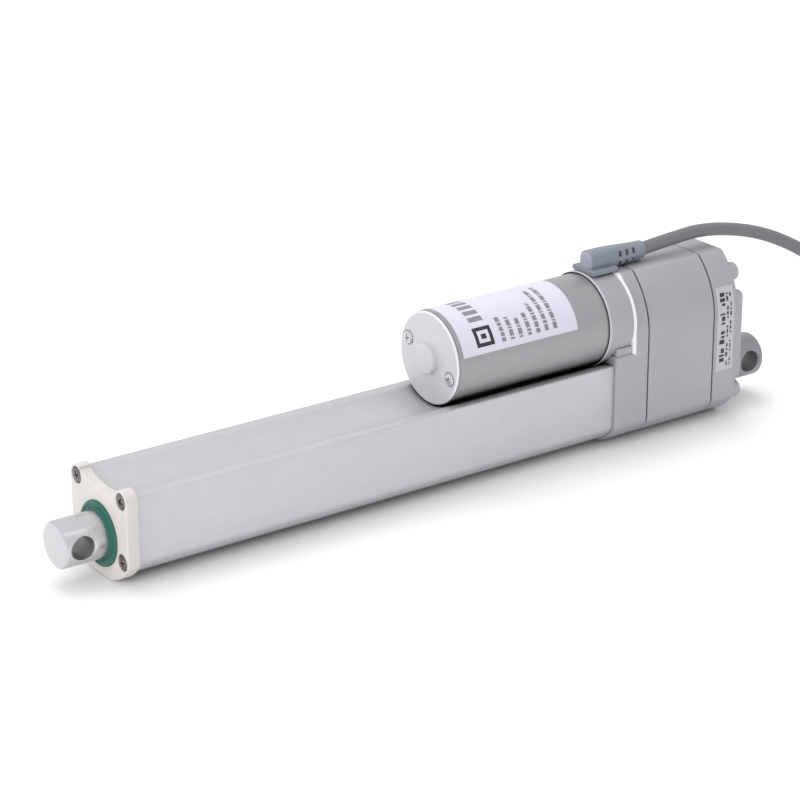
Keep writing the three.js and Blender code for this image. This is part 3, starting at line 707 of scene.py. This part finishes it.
def make_cable():
    path = smooth_path(CABLE_FALL + hank_route())
    cable = mesh_object("cable_run", tube_along(path, CABLE_R))
    finish_piece(cable, jacket, "housing", ["cable", "cable_hank", "cable_tail"], 60)
    plug = make_plug()
    tie = make_tie()


# ------------------------------------------------------------------ screws
CAP_SCREW = {"head_r": 3.35, "head_h": 1.9, "shank_r": 1.6, "look": steel, "slot": "steel"}
MOTOR_SCREW = {"head_r": 2.9, "head_h": 1.7, "shank_r": 1.5, "look": zinc, "slot": "zinc_plate"}
HOUSING_SCREW = {"head_r": 3.2, "head_h": 2.6, "shank_r": 1.7, "look": steel, "slot": "steel"}


def screw(name, cad, seat, facing, end, turn, head_r, head_h, shank_r, look, slot):
    """A pan-head screw with a cross recess. facing is 1 for a head towards +X, and -1 towards -X."""
    at = Extent(cad)
    dome = [(head_r * math.cos(a), seat + facing * (head_h * (0.35 + 0.65 * math.sin(a))))
            for a in [math.pi / 2 * i / 8 for i in range(9)]]
    profile = [(0, end), (shank_r, end), (shank_r, seat), (head_r, seat)] + dome[:-1] + [(0, dome[-1][1])]
    made = mesh_object(name, lathe(profile, at.y, at.z, 48))
    top = seat + facing * head_h
    recess = cross(head_r * 0.62, head_r * 0.15, at.y, at.z, turn)
    carve(made, [loft(recess, [(top - facing * head_h * 0.8, head_r * 0.3), (top + facing * 0.4, 0)])])
    return finish_piece(made, look, "housing", [cad])


# ------------------------------------------------------------------ rod, tube and front cap
def pin_hole(x, radius):
    """A cross hole along Y with a chamfer at each mouth, through a bar of the given radius."""
    mouth = radius - 0.9
    past = radius + 1.1
    wide = PIN_R + 2
    return bar_y(x, 0, [(wide, -past), (PIN_R, -mouth), (PIN_R, mouth), (wide, past)])


def make_rod():
    joint = -8                     # the fitting's shoulder, where the sleeve begins
    neck = 7.3
    hole_x = ROD_END.x1 - PIN_INSET
    front = [(ROD_R - inset, x) for x, inset in rounded(joint, ROD_END.x1, 0, 1.5, 8)]
    profile = [(0, ROD_END.x0), (neck, ROD_END.x0), (neck, joint)] + front + [(0, ROD_END.x1)]
    end = mesh_object("rod_end_fitting", lathe(profile))
    carve(end, [pin_hole(hole_x, ROD_R)])
    finish_piece(end, turned, "rod", ["rod_end"])
    # Painted shade: the cross hole's wall gets the dark dull finish.
    paint_faces(end, dull_and_bore_shade, lambda centre, normal: math.hypot(centre[0] - hole_x, centre[2]) < PIN_R + 0.05)
    sleeve = mesh_object("rod_sleeve", pipe(neck + 0.1, ROD_R, ROD_TUBE.x0, joint - 0.02, fillet=0.12))
    finish_piece(sleeve, turned, "rod", ["rod_tube"])


def make_tube():
    """The extrusion, with its bore and the slot for the limit switches below it."""
    tube = mesh_object("tube_extrusion", loft(tube_outline, rounded(TUBE.x0, TUBE.x1, 0.2, 0.2, 2)))
    start, stop = TUBE.x0 - 1, TUBE.x1 + 1
    carve(tube, [rod(BORE_R, start, stop), block(start, stop, -17.6, -12, -4, 5.5)])
    finish_piece(tube, anodised, "housing", ["outer_tube"])


def counterbore(radius, floor, face, slope, rim, y=0.0, z=0.0, sides=ROUND):
    """A round pocket in a face; from slope below the face its wall opens outwards by rim."""
    return lathe([(0, floor), (radius, floor), (radius, face - slope), (radius + rim, face + 0.2),
                  (radius + rim, face + 1), (0, face + 1)], y, z, sides)


def make_front_cap():
    face = CAP.x1
    seat = face - 1.7
    plate = mesh_object("cap_plate", loft(cap_outline, rounded(TUBE_FRONT, face, 0.25, 0.7)))
    spigot = pipe(11, BORE_R - 0.1, CAP.x0, TUBE_FRONT + 0.5)
    carve(plate, [spigot], "UNION")
    holes = [rod(12.1, CAP.x0 - 1, face + 1), counterbore(12.7, face - 3, face, 0.6, 0.7)]
    for i in range(4):
        at = Extent(f"cap_screw_{i + 1}")
        holes.append(rod(2.2, TUBE_FRONT - 1, face + 1, at.y, at.z, sides=48))
        holes.append(counterbore(3.6, seat - 0.1, face, 0.3, 0.5, at.y, at.z, 64))
    carve(plate, holes)
    finish_piece(plate, ivory, "housing", ["front_cap"])
    for i, turn in enumerate((20, 65, 38, 5)):
        screw(f"cap_fixing_{i + 1}", f"cap_screw_{i + 1}", seat, 1, -20, turn, **CAP_SCREW)


def make_seal():
    """A wiper seal with a rounded outer lip and a thin inner lip on the rod."""
    face = CAP.x1
    inner_r = ROD_R + 0.08
    lip = arc(12.9, face + 0.35, 1.0, 0, 150, 10)
    profile = [(inner_r, SEAL.x0), (12.6, SEAL.x0), (12.6, face + 0.1), (13.9, face + 0.1)] + lip
    profile += [(11.4, face + 0.75), (10.9, face + 1.2), (10.3, SEAL.x1), (inner_r, SEAL.x1 - 0.1)]
    profile.append(profile[0])
    seal = mesh_object("seal_ring", lathe(profile))
    finish_piece(seal, green, "housing", ["wiper_seal"])


# ------------------------------------------------------------------ motor
BELL_FACE = BELL.x1 - 3.2          # the end bell's face, behind its boss
BELL_R = 20.45
BOSS_R = 6.7
BELL_SPIGOT_R = 18.9
MOTOR_SEAM = BELL_FACE - 1.4       # front end of the can


def make_can():
    inner_r = BELL_SPIGOT_R + 0.1
    outside = [(MOTOR_R - inset, x) for x, inset in rounded(CAN.x0, MOTOR_SEAM, 0.6, 0.45)][::-1]
    back = [(4, CAN.x0), (4, -250), (inner_r, -250), (inner_r, MOTOR_SEAM)]
    can = mesh_object("can_shell", lathe([(inner_r, MOTOR_SEAM)] + outside + back, 0, MOTOR_Z, 128))
    finish_piece(can, paint, "housing", ["motor_can"])


# The faces of the end bell's rounded rim, which get the painted highlight.
def bell_highlight_mask(centre, normal):
    x, y, z = centre
    return x > BELL_FACE - 0.7 and normal.x < 0.95 and math.hypot(y, z - MOTOR_Z) > 19


def make_end_bell():
    back = MOTOR_SEAM + 0.25
    rim = [(BELL_R - inset, x) for x, inset in rounded(back, BELL_FACE, 0.1, 0.95, 8)]
    boss = [(BOSS_R - inset, x) for x, inset in rounded(BELL_FACE + 0.3, BELL.x1, 0, 1.0, 6)]
    fillet = [(BOSS_R + 0.4, BELL_FACE), (BOSS_R + 0.1, BELL_FACE + 0.1)]
    profile = [(0, BELL.x0), (BELL_SPIGOT_R, BELL.x0), (BELL_SPIGOT_R, back)] + rim + fillet + boss
    bell = mesh_object("end_bell", lathe(profile + [(0, BELL.x1)], 0, MOTOR_Z, 128))
    cuts = [rod(2.6, BELL.x0 - 1, BELL_FACE + 2, 0, MOTOR_Z)]
    for i in range(2):
        at = Extent(f"motor_screw_{i + 1}")
        cuts.append(lathe([(0, BELL.x0 - 1), (1.6, BELL.x0 - 1), (1.6, BELL_FACE - 0.7),
                           (3.3, BELL_FACE - 0.7), (3.3, BELL_FACE - 0.2), (3.6, BELL_FACE + 0.1),
                           (3.6, BELL_FACE + 1), (0, BELL_FACE + 1)], at.y, at.z, 48))
    carve(bell, cuts)
    finish_piece(bell, paint_light, "housing", ["motor_end_bell"])
    # Painted highlight on the rim of the end bell.
    paint_faces(bell, bell_highlight_paint, bell_highlight_mask)
    for i, turn in enumerate((10, 50)):
        screw(f"bell_fixing_{i + 1}", f"motor_screw_{i + 1}", BELL_FACE - 0.65, 1, BELL_FACE - 4, turn,
              **MOTOR_SCREW)


# ------------------------------------------------------------------ labels
FILM_LIFT = 0.02                   # gap under a label
FILM_THICK = 0.16
LABEL_LOW = 14                     # degrees from +Y: the motor label's lower edge
LABEL_HIGH = 150
TEXT_LOW = 22                      # where its marks begin


def curved_patch(x0, x1, start, end, low_r, high_r):
    """A thin patch on the motor, angles in degrees from +Y towards +Z."""
    steps = max(2, int(abs(end - start) / 3))
    inside = arc(0, MOTOR_Z, low_r, start, end, steps)
    outside = arc(0, MOTOR_Z, high_r, start, end, steps)[::-1]
    return prism(inside + outside, x0, x1)


def label_mark(x0, x1, start, end):
    """A patch of ink on the motor's label."""
    top = MOTOR_R + FILM_LIFT + FILM_THICK
    return curved_patch(x0, x1, start, end, top - 0.02, top + 0.03)


def emblem_marks(edge):
    """A plain square ring with a square in its middle."""
    width, stroke = 9.3, 1.7
    low_side, high_side = TEXT_LOW, TEXT_LOW + 24
    return [label_mark(edge - stroke, edge, low_side, high_side),
            label_mark(edge - width, edge - width + stroke, low_side, high_side),
            label_mark(edge - width, edge, low_side, low_side + 4.6),
            label_mark(edge - width, edge, high_side - 4.6, high_side),
            label_mark(edge - 6, edge - 3.3, 31, 37)]


def row_marks(edge):
    """Rows broken into lengths like words, each row running round the motor."""
    marks = []
    for i, length in enumerate((31, 28, 24, 28, 40, 62, 66)):
        x = edge - 13.3 - 4.65 * i
        angle = TEXT_LOW
        while angle < TEXT_LOW + length:
            word = 5 + 3 * math.sin(7.1 * i + angle)
            marks.append(label_mark(x - 2.1, x, angle, min(angle + word, TEXT_LOW + length)))
            angle += word + 1.4
    return marks


def make_motor_label():
    at = Extent("motor_label")
    low_r = MOTOR_R + FILM_LIFT
    sheet = mesh_object("motor_label_film",
                        curved_patch(at.x0, at.x1, LABEL_LOW, LABEL_HIGH, low_r, low_r + FILM_THICK))
    finish_piece(sheet, film, "housing", ["motor_label"])
    edge = at.x1 - 8
    title = [label_mark(edge - 8, edge - 0.8, angle, angle + 7) for angle in (54, 65, 76, 87, 98)]
    finish_piece(mesh_object("label_emblem", together(emblem_marks(edge))), ink, "housing")
    finish_piece(mesh_object("label_title", together(title)), grey_ink, "housing")
    finish_piece(mesh_object("label_rows", together(row_marks(edge))), grey_ink, "housing")


def side_point(z, gap):
    """y of the gearbox's side at a height."""
    if z <= SHOULDER_Z:
        return BODY_HALF + gap
    return BODY_HALF - SHOULDER_R + math.sqrt((SHOULDER_R + gap) ** 2 - (z - SHOULDER_Z) ** 2)


def side_patch(x0, x1, z0, z1, inside, outside):
    """A thin patch on the gearbox's side, between two gaps from it."""
    steps = max(1, int((z1 - z0) / 1.5))
    heights = [z0 + (z1 - z0) * i / steps for i in range(steps + 1)]
    section = [(side_point(z, inside), z) for z in heights]
    section += [(side_point(z, outside), z) for z in reversed(heights)]
    return prism(section, x0, x1)


def column_marks(column, x, width, z0, z1):
    """Short bars of uneven height and width, with gaps, one above the other."""
    marks = []
    z = z0
    i = 3 * column
    while z < z1:
        height = 0.8 + 0.7 * (1 + math.sin(2.7 * i))
        if i % 4:
            right = x + width * (0.6 + 0.4 * math.sin(5.3 * i) ** 2)
            marks.append(side_patch(x, right, z, z + height, FILM_THICK, FILM_THICK + 0.05))
        z += height + 0.7
        i += 1
    return marks


def make_rear_label():
    at = Extent("rear_label")
    sheet = side_patch(at.x0, at.x1, at.z0, at.z1, FILM_LIFT, FILM_LIFT + FILM_THICK)
    finish_piece(mesh_object("rear_label_film", sheet), rear_film, "housing", ["rear_label"])
    marks = []
    for column, (x, width) in enumerate(((at.x1 - 4.6, 3.1), (at.x1 - 6.6, 1.2), (at.x1 - 8.4, 1.0))):
        marks += column_marks(column, x, width, at.z0 + 2, at.z1 - 3)
    finish_piece(mesh_object("rear_label_marks", together(marks)), ink, "housing")


# ------------------------------------------------------------------ gearbox
LEDGE = {"half_y": 20.6, "low": 15, "high": 29, "radius": 0.8}
BEARING_FRONT = -262               # front of the screw bearing's seat
COVER_POCKET = -313                # floor of the seat for the rear pivot
MOTOR_GROOVE = 0.65                # width of the ring groove round the can
GROOVE_DEPTH = 2.2


def collar_shape():
    """The ring that holds the motor, on a slightly wider foot that is painted light as a painted highlight.
    """
    start = FLANGE_FRONT - EDGE_WIDTH
    foot = [(0, start), (EDGE_R - 0.1, start), (EDGE_R, start + 0.2), (EDGE_R, FLANGE_FRONT - 0.3),
            (EDGE_R - 0.1, FLANGE_FRONT + 0.1), (COLLAR_R + 0.02, FLANGE_FRONT + 0.2)]
    ring = [(COLLAR_R - inset, x) for x, inset in rounded(FLANGE_FRONT + 4, FRONT.x1, 0, 1.3)]
    return lathe(foot + ring + [(0, FRONT.x1)], 0, MOTOR_Z, 128)


def front_housing_cuts():
    """Seats for the motor, for the black ring of painted shade in the groove round it, for the tube and the
    bearing, and bores for the shafts.
    """
    past = FRONT.x1 + 1
    before = FRONT.x0 - 1
    return [rod(MOTOR_R + 0.1, CAN.x0 - 0.3, past, 0, MOTOR_Z, sides=128),
            rod(MOTOR_R + MOTOR_GROOVE, FRONT.x1 - GROOVE_DEPTH, past, 0, MOTOR_Z, sides=128),
            prism(tube_outline(-0.08), TUBE.x0 - 0.2, past),
            rod(4.1, before, CAN.x0 + 1, 0, MOTOR_Z, sides=48),
            rod(13.1, BEARING_FRONT - 0.2, TUBE.x0 + 1), rod(8.5, before, BEARING_FRONT),
            rod(AXLE_R, before, BEARING_FRONT, 0, Extent("idler_axle").z, sides=48)]


def make_front_housing():
    head = mesh_object("front_casting", loft(head_outline, rounded(FRONT.x0, FLANGE_FRONT, SEAM_R, 1.4, 8)))
    socket = loft(socket_outline, rounded(FRONT.x0 + 1, SOCKET_FRONT, 0, 1.4))
    ledge = loft(rounded_box(**LEDGE), rounded(FLANGE_FRONT - 1, -250.5, 0, 1.0))
    carve(head, [socket, collar_shape(), ledge], "UNION")
    carve(head, front_housing_cuts())
    finish_piece(head, cast, "housing", ["front_housing"])
    # Painted highlight along the flange's front ring and fillet.
    paint_faces(head, flange_highlight_paint, flange_highlight_mask)
    # Painted highlight on the collar's rounded front edge.
    paint_faces(head, collar_highlight_paint, collar_highlight_mask)
    # Painted shade: a black ring fills the groove round the can, standing in for the shadow in the gap.
    start = FRONT.x1 - GROOVE_DEPTH
    ring = pipe(MOTOR_R + 0.02, MOTOR_R + MOTOR_GROOVE - 0.03, start, start + 1, 0, MOTOR_Z, 0.1)
    finish_piece(mesh_object("groove_shadow_ring", ring), rubber, "housing")


def flange_highlight_mask(centre, normal):
    """The ring and fillet round the front of the flange, down to the foot of the ledge, painted light as a
    painted highlight.
    """
    x, y, z = centre
    outside = math.hypot(y, z - MOTOR_Z) > COLLAR_R - 0.3
    fillet = FLANGE_FRONT - 1.45 < x < FLANGE_FRONT and normal.x > 0.05
    ring = -EDGE_WIDTH < x - FLANGE_FRONT < 0.15 and math.hypot(y, z - MOTOR_Z) < EDGE_R + 0.05
    return z > LEDGE["low"] + 1 and outside and (fillet or ring)


def collar_highlight_mask(centre, normal):
    """The rounded front edge of the collar, painted lighter as a painted highlight."""
    x, y, z = centre
    return x > FRONT.x1 - 1.3 and math.hypot(y, z - MOTOR_Z) > MOTOR_R + MOTOR_GROOVE + 0.01


def hollow(start, stop):
    return prism(head_outline(WALL), start, stop)


def make_mid_housing():
    mid = mesh_object("mid_casting", loft(head_outline, rounded(MID.x0, MID.x1, SEAM_R, SEAM_R, 4)))
    carve(mid, [hollow(MID.x0 - 1, MID.x1 + 1)])
    finish_piece(mid, cast, "housing", ["mid_housing"])


def make_gasket(name):
    at = Extent(name)
    gasket = mesh_object(f"{name}_sheet", prism(head_outline(GASKET_INSET), at.x0, at.x1))
    carve(gasket, [hollow(at.x0 - 1, at.x1 + 1)])
    finish_piece(gasket, rubber, "housing", [name])


def make_rear_cover():
    """The back of the gearbox: a raised plateau, and bosses for the pivot and the long screws."""
    cover = mesh_object("rear_casting", loft(head_outline, rounded(CAP_BACK, COVER.x1, 2.4, SEAM_R, 8)))
    screws = [Extent(f"housing_screw_{i + 1}") for i in range(4)]
    raised = [loft(rounded_box(20.4, -1.5, 41, 2.5), rounded(COVER.x0, CAP_BACK + 3, 1.2, 0)),
              rod(ROD_R + 1.2, COVER.x0, CAP_BACK + 3, 0, 0, 0.8, 0)]
    raised += [rod(4.2, COVER.x0, CAP_BACK + 4, at.y, at.z, 0.9, 0, 64) for at in screws]
    carve(cover, raised, "UNION")
    past = COVER.x1 + 1
    before = COVER.x0 - 1
    cuts = [rod(AXLE_R, -311.5, past, 0, Extent("idler_axle").z, sides=48),
            rod(6.1, COVER_POCKET, past), rod(8.1, before, COVER_POCKET)]
    cuts += [rod(3.45, before, CAP_BACK, at.y, at.z, sides=48) for at in screws]
    carve(cover, cuts)
    finish_piece(cover, cast, "housing", ["rear_cover"])
    for i, turn in enumerate((15, 50, 75, 30)):
        screw(f"gearbox_fixing_{i + 1}", f"housing_screw_{i + 1}", CAP_BACK - 0.05, -1, BEARING_FRONT, turn,
              **HOUSING_SCREW)


def make_rear_pivot():
    """The fixed eye: its stub goes through the cover and narrows to a spigot behind it."""
    back = COVER.x0 - 0.1
    step = COVER_POCKET - 0.2
    body = [(ROD_R - inset, x) for x, inset in rounded(PIVOT.x0, back, 1.5, 0, 8)]
    profile = [(0, PIVOT.x0)] + body + [(8, back), (8, step), (6, step), (6, PIVOT.x1), (0, PIVOT.x1)]
    pivot = mesh_object("pivot_stub", lathe(profile))
    carve(pivot, [pin_hole(PIVOT.x0 + PIN_INSET, ROD_R)])
    finish_piece(pivot, dull_and_bore_shade, "housing", ["rear_pivot"])


# ------------------------------------------------------------------ cable boot
def boot_section(x, inset):
    """Square-shouldered at the front, where it stands on its foot, and round at the back."""
    t = ease((x - BOOT.x0) / 24)
    width = 3.95 + 0.45 * t - inset
    height = 4.1 + 0.9 * t - inset
    power = 1 - 0.36 * t
    points = []
    for i in range(48):
        a = 2 * math.pi * i / 48
        c, s = math.cos(a), math.sin(a)
        points.append((x, width * math.copysign(abs(c) ** power, c),
                       CABLE_FALL[0][2] + height * math.copysign(abs(s) ** power, s)))
    return points


def boot_slots():
    """Three slots on each side, in an upper and a lower row."""
    centre = CABLE_FALL[0][2]
    slots = []
    for i in range(3):
        x = BOOT.x0 + 6.2 + 4.0 * i
        for side in (-1, 1):
            y0, y1 = sorted((side * 2.2, side * 7))
            for low_z, high_z in ((0.5, 3.0), (-3.6, -1.5)):
                slots.append(block(x, x + 1.9, y0, y1, centre + low_z, centre + high_z))
    return slots


def make_boot():
    """A strain relief on a flat foot that bridges the top of the collar."""
    stations = rounded(BOOT.x0, BOOT.x1 - 0.5, 0.5, 2.4, 8)
    stations += [(BOOT.x0 + 1 + 2.8 * i, 0) for i in range(1, 11)]
    boot = mesh_object("boot_body", bridge([boot_section(x, inset) for x, inset in sorted(stations)]))
    foot_top = HEAD_TOP + 2.6
    foot = loft(rounded_box(7.5, HEAD_TOP + 0.2, foot_top, 0.7), rounded(BOOT.x1 - 14, BOOT.x1, 0.4, 0.4))
    carve(boot, [foot], "UNION")
    carve(boot, [rod(21.9, FLANGE_FRONT - 1.2, BOOT.x1 + 2, 0, MOTOR_Z)] + boot_slots())
    finish_piece(boot, boot_rubber, "housing", ["cable_boot"])
    # Painted sheen: front-facing faces above the foot are painted lighter.
    paint_faces(boot, nose_sheen, lambda centre, normal: normal.x > 0.6 and centre[2] > foot_top)


# ------------------------------------------------------------------ floor and light
FLOOR_SIZE = 6                     # metres


def make_floor():
    bpy.ops.mesh.primitive_plane_add(size=FLOOR_SIZE, location=(0, 0, CAD_BOX[0][2] - 0.0002))
    floor = bpy.context.object
    floor.name = "floor"
    look = surface("pale_floor", (0.93, 0.93, 0.93), 0.8, 0.0, 60, EVEN, 0.005, 0.01, wear=0.0)
    floor.data.materials.append(look)


def make_light(name, place, size, power, long_size=None, glossy=True):
    """A soft light that faces the middle of the object; with a long_size it is a strip along X."""
    data = bpy.data.lights.new(name, "AREA")
    data.shape = "RECTANGLE" if long_size else "DISK"
    data.size = long_size or size
    if long_size:
        data.size_y = size
    data.energy = power
    light = bpy.data.objects.new(name, data)
    light.location = place
    light.visible_glossy = glossy
    light.rotation_euler = (Vector(place) - Vector((0, 0, 0.03))).to_track_quat("Z", "Y").to_euler()
    bpy.context.scene.collection.objects.link(light)


def make_lights():
    """An even white surround, a broad light above and one in front, and a strip that draws a highlight."""
    world = bpy.data.worlds.new("studio")
    world.use_nodes = True
    background = world.node_tree.nodes["Background"]
    background.inputs["Color"].default_value = (0.985, 0.985, 1.0, 1)
    background.inputs["Strength"].default_value = 0.9
    bpy.context.scene.world = world
    make_light("overhead", (-0.1, -0.45, 1.3), 1.1, 8.5, glossy=False)
    make_light("strip", (0.1, 0.55, 1.0), 0.12, 0.9, long_size=1.3)
    make_light("front", (1.25, 0.2, 0.25), 0.9, 6, glossy=False)
    bpy.context.scene.view_settings.view_transform = "Standard"


make_camera()
make_cable()
make_rod()
make_tube()
make_front_cap()
make_seal()
make_can()
make_end_bell()
make_motor_label()
make_front_housing()
make_mid_housing()
make_gasket("front_gasket")
make_gasket("rear_gasket")
make_rear_cover()
make_rear_pivot()
make_rear_label()
make_boot()
paint_carried_nodes()
make_floor()
make_lights()
